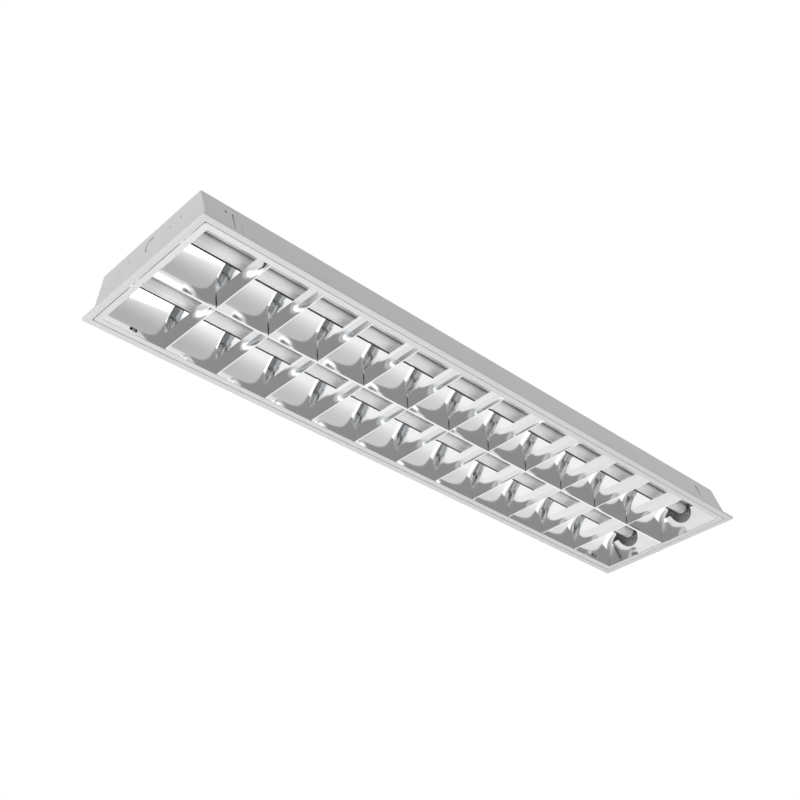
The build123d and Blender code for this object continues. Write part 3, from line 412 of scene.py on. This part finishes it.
# ---- end reflectors -----------------------------------------------------------------------
# Bowed mirror sheets that lean in over each end of a row. A round opening, open at its top,
# lets the lamp and its holder through when the louvre swings down.
end_lean = 0.0250
end_bow = 0.0042
lamp_y = 0.0650
lamp_opening = 0.0240
lamp_opening_height = 0.0438
opening_degrees = range(6, 79, 4)
thin_edge = 0.00002
half_sheet_columns = 8

end_line = bow_line((0.0, lip_top), (-end_lean, mirror_top), -end_bow)
heights = spread(lip_top, lamp_opening_height - lamp_opening, half_sheet_columns)
heights += [lamp_opening_height - lamp_opening * math.cos(math.radians(degrees))
            for degrees in opening_degrees]
for end_name, end in (("left", -1), ("right", 1)):
    verts, faces = [], []
    for row in (-1, 1):
        for part in ("inner", "outer"):
            front, back = [], []
            for height in heights:
                low_y = centre_line(height)[0] + slot_clear
                high_y = side_line(height)[0] - slot_clear
                reach = 0.0
                if height > lamp_opening_height - lamp_opening:
                    reach = math.sqrt(lamp_opening ** 2 - (lamp_opening_height - height) ** 2)
                if part == "inner":
                    ys = spread(low_y, max(lamp_y - reach, low_y + thin_edge), half_sheet_columns)
                else:
                    ys = spread(min(lamp_y + reach, high_y - thin_edge), high_y,
                                half_sheet_columns)
                out, normal = end_line(height)
                front.append([(end * (cell_x + out), row * y, height) for y in ys])
                back.append([(end * (cell_x + out + normal.x * mirror_sheet), row * y,
                              height + normal.y * mirror_sheet) for y in ys])
            part_verts, part_faces = sheet_faces(front, back)
            faces += [tuple(len(verts) + corner for corner in face) for face in part_faces]
            verts += part_verts
    end_reflector = mesh_piece(f"end_reflector_sheets_{end_name}", verts, faces, mirror_metal)
    finish_louvre_piece(end_reflector, f"end_reflector_{end_name}")

# ---- cross blades -------------------------------------------------------------------------
# Eleven V blades of folded mirror sheet stand across both rows. Their flanks are hollow, which
# gives each the lens-shaped highlight over its narrow bottom fold.
blade_bow = 0.0012
flank_rows = 12
blade_columns = 40

flank = bow_line((blade_foot / 2, lip_top), (blade_width / 2, blade_top), blade_bow)
flank_heights = spread(blade_top, lip_top, flank_rows)
section_front, section_back = [], []
for height in flank_heights:
    out, normal = flank(height)
    section_front.append((-out, height))
    section_back.append((-(out + normal.x * mirror_sheet), height + normal.y * mirror_sheet))
for height in reversed(flank_heights):
    out, normal = flank(height)
    section_front.append((out, height))
    section_back.append((out + normal.x * mirror_sheet, height + normal.y * mirror_sheet))
front, back = [], []
for (x, height), (inner_x, inner_height) in zip(section_front, section_back):
    reach = side_line(height)[0] - slot_clear
    front.append([(x, y, height) for y in spread(-reach, reach, blade_columns)])
    back.append([(inner_x, y, max(inner_height, lip_top + mirror_sheet))
                 for y in spread(-reach, reach, blade_columns)])
blade_verts, blade_faces = sheet_faces(front, back)
for number, station in enumerate(blade_stations, start=1):
    blade = mesh_piece(f"cross_blade_fold_{number:02d}",
                       [(x + station, y, z) for x, y, z in blade_verts], blade_faces, mirror_metal)
    finish_louvre_piece(blade, f"cross_blade_{number:02d}")

# ---- louvre frame -------------------------------------------------------------------------
# A flat aluminium ring, satin anodised, that hangs in the mouth with a narrow gap all round and
# carries the reflectors on its lip. The hinge ears are bent up from its long side.
satin_metal = sheet_metal_finish("satin_metal", (0.66, 0.66, 0.665), 0.42,
                                 (1500.0, 60.0, 1500.0), 0.2, 0.05)
nodes["louvre_frame"].data.materials.clear()
nodes["louvre_frame"].data.materials.append(satin_metal)

# ---- lamps --------------------------------------------------------------------------------
# Glass tubes, coated white inside, with an aluminium cap crimped on each end. Two pins
# stand out of each cap and sit in a turning rotor of the holder.
lamp_height = 0.0513
tube_radius = 0.0130
cap_radius = 0.0135
lamp_end = 0.5997
cap_length = 0.0130
cap_overlap = 0.0020
cap_lip = 0.0002
crimp_place = 0.0067
crimp_slope = 0.0004
cap_round = 0.0012
pin_disc_radius = 0.0040
pin_disc_recess = 0.0003
# where the painted shade on each tube's ends begins and where it is full
end_shade_from = 0.535
end_shade_to = 0.562
tube_steps = 24
round_steps = 48


def coated_glass_finish():
    """White phosphor behind thin clear glass, with painted shade towards the lamp's ends, where
    they pass into the end reflectors.
    """
    material = bpy.data.materials.new("coated_glass")
    material.use_nodes = True
    tree, links = material.node_tree.nodes, material.node_tree.links
    shader = tree["Principled BSDF"]
    shader.inputs["Roughness"].default_value = 0.5
    shader.inputs["Coat Weight"].default_value = 0.8
    shader.inputs["Coat Roughness"].default_value = 0.06
    place = tree.new("ShaderNodeTexCoord")
    split = tree.new("ShaderNodeSeparateXYZ")
    links.new(place.outputs["Object"], split.inputs["Vector"])
    along = tree.new("ShaderNodeMath")
    along.operation = "ABSOLUTE"
    links.new(split.outputs["X"], along.inputs[0])
    # painted shade: the tube's colour turns grey near its ends, where it passes into the end
    # reflectors' openings
    shade = tree.new("ShaderNodeValToRGB")
    shade.color_ramp.elements[0].position = end_shade_from
    shade.color_ramp.elements[0].color = (0.93, 0.93, 0.92, 1)
    shade.color_ramp.elements[1].position = end_shade_to
    shade.color_ramp.elements[1].color = (0.74, 0.74, 0.72, 1)
    links.new(along.outputs["Value"], shade.inputs["Fac"])
    powder = tree.new("ShaderNodeTexNoise")
    powder.inputs["Scale"].default_value = 120.0
    powder.inputs["Detail"].default_value = 4.0
    links.new(place.outputs["Object"], powder.inputs["Vector"])
    mottle = tree.new("ShaderNodeMix")
    mottle.data_type = "RGBA"
    mottle.blend_type = "MULTIPLY"
    mottle.inputs["Factor"].default_value = 0.06
    links.new(shade.outputs["Color"], mottle.inputs["A"])
    links.new(powder.outputs["Color"], mottle.inputs["B"])
    links.new(mottle.outputs["Result"], shader.inputs["Base Color"])
    return material


coated_glass = coated_glass_finish()
cap_metal = sheet_metal_finish("cap_metal", (0.78, 0.78, 0.79), 0.28,
                               (1200.0, 300.0, 300.0), 0.3, 0.0)


def turned(profile, x_sign, axis_y):
    """Points and faces of a turned shape: (along, radius) pairs about a lamp's axis."""
    verts, faces = [], []
    for along, radius in profile:
        for number in range(round_steps):
            turn = 2 * math.pi * number / round_steps
            verts.append((x_sign * along, axis_y + radius * math.cos(turn),
                          lamp_height + radius * math.sin(turn)))
    for row in range(len(profile) - 1):
        for number in range(round_steps):
            following = (number + 1) % round_steps
            faces.append((row * round_steps + number, row * round_steps + following,
                          (row + 1) * round_steps + following, (row + 1) * round_steps + number))
    return verts, faces


for lamp_name, lamp in (("near", -1), ("far", 1)):
    tube_stations = spread(-lamp_end + cap_overlap, lamp_end - cap_overlap, tube_steps)
    verts, faces = turned([(x, tube_radius) for x in tube_stations], 1, lamp * lamp_y)
    tube = mesh_piece(f"tube_glass_{lamp_name}", verts, faces, coated_glass)
    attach(tube, f"{lamp_name}_lamp")
    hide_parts(f"lamp_tube_{lamp_name}")

    verts, faces = [], []
    for end in (-1, 1):
        cap_foot = lamp_end - cap_length
        crimp = lamp_end - crimp_place
        cap_profile = [(cap_foot, tube_radius + cap_lip / 2),
                       (cap_foot + cap_lip, cap_radius - cap_lip),
                       (cap_foot + 4 * cap_lip, cap_radius),
                       (crimp - 2 * crimp_slope, cap_radius),
                       (crimp - crimp_slope, cap_radius - crimp_slope),
                       (crimp + crimp_slope, cap_radius - crimp_slope),
                       (crimp + 2 * crimp_slope, cap_radius),
                       (lamp_end - cap_round, cap_radius),
                       (lamp_end - cap_round / 3, cap_radius - cap_round / 3),
                       (lamp_end, cap_radius - cap_round), (lamp_end, pin_disc_radius),
                       (lamp_end - pin_disc_recess, pin_disc_radius - cap_lip),
                       (lamp_end - pin_disc_recess, 0.0)]
        cap_verts, cap_faces = turned(cap_profile, end, lamp * lamp_y)
        faces += [tuple(len(verts) + corner for corner in face) for face in cap_faces]
        verts += cap_verts
    caps = mesh_piece(f"caps_crimped_{lamp_name}", verts, faces, cap_metal, 50)
    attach(caps, f"{lamp_name}_lamp")
    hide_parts(f"lamp_caps_{lamp_name}")

# ---- plain CAD pieces ---------------------------------------------------------------------
# Small parts of the gear that keep their solids: moulded holders and rotors, the gear box, zinc
# plated screws and pins, galvanised brackets and keepers, the rubber ring and the wires.
def moulded_finish(name, colour, roughness, speckle):
    material = bpy.data.materials.new(name)
    material.use_nodes = True
    tree, links = material.node_tree.nodes, material.node_tree.links
    shader = tree["Principled BSDF"]
    shader.inputs["Specular IOR Level"].default_value = 0.4
    skin = tree.new("ShaderNodeGroup")
    skin.node_tree = powder_skin
    skin.inputs["Pebble Scale"].default_value = 1600.0
    tint = tree.new("ShaderNodeValToRGB")
    tint.color_ramp.elements[0].position = 0.25
    tint.color_ramp.elements[0].color = (*[c * (1 - speckle) for c in colour], 1)
    tint.color_ramp.elements[1].position = 0.6
    tint.color_ramp.elements[1].color = (*colour, 1)
    links.new(skin.outputs["Marks"], tint.inputs["Fac"])
    links.new(tint.outputs["Color"], shader.inputs["Base Color"])
    dull = tree.new("ShaderNodeMapRange")
    dull.inputs["To Min"].default_value = roughness - 0.06
    dull.inputs["To Max"].default_value = roughness + 0.06
    links.new(skin.outputs["Marks"], dull.inputs["Value"])
    links.new(dull.outputs["Result"], shader.inputs["Roughness"])
    bump = tree.new("ShaderNodeBump")
    bump.inputs["Strength"].default_value = 0.1
    bump.inputs["Distance"].default_value = 0.0001
    links.new(skin.outputs["Height"], bump.inputs["Height"])
    links.new(bump.outputs["Normal"], shader.inputs["Normal"])
    return material


holder_plastic = moulded_finish("holder_plastic", (0.80, 0.80, 0.77), 0.38, 0.05)
rotor_plastic = moulded_finish("rotor_plastic", (0.72, 0.72, 0.70), 0.35, 0.06)
catch_plastic = moulded_finish("catch_plastic", (0.33, 0.33, 0.34), 0.45, 0.08)
terminal_plastic = moulded_finish("terminal_plastic", (0.76, 0.75, 0.70), 0.40, 0.05)
grommet_rubber = moulded_finish("grommet_rubber", (0.035, 0.035, 0.035), 0.68, 0.2)
wire_sleeve = moulded_finish("wire_sleeve", (0.72, 0.72, 0.71), 0.42, 0.06)
clip_plastic = moulded_finish("clip_plastic", (0.78, 0.78, 0.75), 0.40, 0.05)
gear_paint = painted_finish("gear_paint", (0.74, 0.74, 0.735), (0.68, 0.68, 0.67), 0.38, 1200.0)
zinc_metal = sheet_metal_finish("zinc_metal", (0.62, 0.63, 0.64), 0.34,
                                (500.0, 500.0, 500.0), 0.3, 0.0)
bracket_metal = sheet_metal_finish("bracket_metal", (0.66, 0.67, 0.68), 0.40,
                                   (160.0, 900.0, 900.0), 0.35, 0.0)
pin_metal = sheet_metal_finish("pin_metal", (0.70, 0.60, 0.36), 0.25,
                               (400.0, 1200.0, 1200.0), 0.3, 0.0)
finishes = {
    holder_plastic: ("lamp_holder_left_near", "lamp_holder_left_far", "lamp_holder_right_near",
                     "lamp_holder_right_far"),
    rotor_plastic: ("rotors_near", "rotors_far"),
    catch_plastic: ("catch_left", "catch_right"),
    terminal_plastic: ("terminal_block",),
    grommet_rubber: ("cable_grommet",),
    wire_sleeve: ("wiring",),
    clip_plastic: ("wire_clips",),
    gear_paint: ("ballast",),
    zinc_metal: ("ballast_screws", "earth_stud", "hinge_pins"),
    bracket_metal: ("hinge_bracket_left", "hinge_bracket_right", "keeper_left", "keeper_right",
                    "catch_guide_left", "catch_guide_right"),
    cap_metal: ("rivets",),
    pin_metal: ("lamp_pins_near", "lamp_pins_far"),
}
for finish, cad_names in finishes.items():
    for cad_name in cad_names:
        nodes[cad_name].data.materials.clear()
        nodes[cad_name].data.materials.append(finish)

# ---- studio -------------------------------------------------------------------------------
# The light hangs in a white room and is seen from below, so the pale floor lies far down. Soft
# lights stand below it and to its left, and a third one above it lights the top and the back.
floor_height = -2.4
floor_reach = 6.0
bright_side = (0.64, 0.91, 0.34)

scene = bpy.context.scene
scene.view_settings.view_transform = "Standard"

camera_data = bpy.data.cameras.new("photo_camera")
camera_data.lens = 54.81
camera_data.sensor_width = 36.0
camera_data.clip_start = 0.05
camera = bpy.data.objects.new("photo_camera", camera_data)
scene.collection.objects.link(camera)
camera.location = (-1.2642, -1.1853, -1.1499)
camera.rotation_euler = (2.18464, 0.01869, -0.75717)
scene.camera = camera

# the mirror sheets face each other, and pass the light on many times before it comes out
scene.cycles.glossy_bounces = 12

world = bpy.data.worlds.new("white_room")
scene.world = world
world.use_nodes = True
tree, links = world.node_tree.nodes, world.node_tree.links
room_light = tree["Background"]
room_light.inputs["Color"].default_value = (1, 1, 1, 1)
room_light.inputs["Strength"].default_value = 0.42
white_room = tree.new("ShaderNodeBackground")
white_room.inputs["Color"].default_value = (1, 1, 1, 1)
white_room.inputs["Strength"].default_value = 1.0
rays = tree.new("ShaderNodeLightPath")
seen = tree.new("ShaderNodeMath")
seen.operation = "MAXIMUM"
links.new(rays.outputs["Is Camera Ray"], seen.inputs[0])
links.new(rays.outputs["Is Transmission Ray"], seen.inputs[1])
room_choice = tree.new("ShaderNodeMixShader")
links.new(seen.outputs["Value"], room_choice.inputs["Fac"])
links.new(room_light.outputs["Background"], room_choice.inputs[1])
links.new(white_room.outputs["Background"], room_choice.inputs[2])

# what the mirrors see: the same white room, fading into half shadow away from its bright side
toward = tree.new("ShaderNodeTexCoord")
toward_bright = tree.new("ShaderNodeVectorMath")
toward_bright.operation = "DOT_PRODUCT"
links.new(toward.outputs["Generated"], toward_bright.inputs[0])
toward_bright.inputs[1].default_value = bright_side
room_fade = tree.new("ShaderNodeMapRange")
room_fade.inputs["From Min"].default_value = -0.86
room_fade.inputs["From Max"].default_value = -0.01
room_fade.inputs["To Min"].default_value = 0.34
room_fade.inputs["To Max"].default_value = 1.02
links.new(toward_bright.outputs["Value"], room_fade.inputs["Value"])
mirrored_room = tree.new("ShaderNodeBackground")
mirrored_room.inputs["Color"].default_value = (1, 1, 1, 1)
links.new(room_fade.outputs["Result"], mirrored_room.inputs["Strength"])
mirror_choice = tree.new("ShaderNodeMixShader")
links.new(rays.outputs["Is Glossy Ray"], mirror_choice.inputs["Fac"])
links.new(room_choice.outputs["Shader"], mirror_choice.inputs[1])
links.new(mirrored_room.outputs["Background"], mirror_choice.inputs[2])
links.new(mirror_choice.outputs["Shader"], tree["World Output"].inputs["Surface"])


def soft_light(name, place, aim, size, power):
    lamp_data = bpy.data.lights.new(name, "AREA")
    lamp_data.shape = "RECTANGLE"
    lamp_data.size, lamp_data.size_y = size
    lamp_data.energy = power
    lamp_object = bpy.data.objects.new(name, lamp_data)
    scene.collection.objects.link(lamp_object)
    lamp_object.location = place
    direction = Vector(aim) - Vector(place)
    lamp_object.rotation_euler = direction.to_track_quat("-Z", "Y").to_euler()


# the pale floor of the room; the mirrors see the room's own light in its place
floor_white = bpy.data.materials.new("floor_white")
floor_white.use_nodes = True
tree, links = floor_white.node_tree.nodes, floor_white.node_tree.links
tree["Principled BSDF"].inputs["Base Color"].default_value = (0.85, 0.85, 0.85, 1)
tree["Principled BSDF"].inputs["Roughness"].default_value = 0.9
floor_glow = tree.new("ShaderNodeEmission")
floor_rays = tree.new("ShaderNodeLightPath")
floor_mix = tree.new("ShaderNodeMixShader")
links.new(floor_rays.outputs["Is Camera Ray"], floor_mix.inputs["Fac"])
links.new(tree["Principled BSDF"].outputs["BSDF"], floor_mix.inputs[1])
links.new(floor_glow.outputs["Emission"], floor_mix.inputs[2])
links.new(floor_mix.outputs["Shader"], tree["Material Output"].inputs["Surface"])
floor_corners = [(x * floor_reach, y * floor_reach, floor_height)
                 for x, y in ((-1, -1), (1, -1), (1, 1), (-1, 1))]
floor = mesh_piece("room_floor", floor_corners, [(0, 1, 2, 3)], floor_white)
floor.visible_glossy = False

soft_light("under_light", (-0.4, 0.1, -1.9), (0, 0, 0), (2.2, 1.6), 14.0)
soft_light("left_light", (-2.2, 0.2, -0.5), (-0.5, 0, 0), (1.2, 1.2), 8.0)
soft_light("above_light", (0.6, 1.8, 1.8), (0, 0, 0.05), (2.4, 1.6), 40.0)
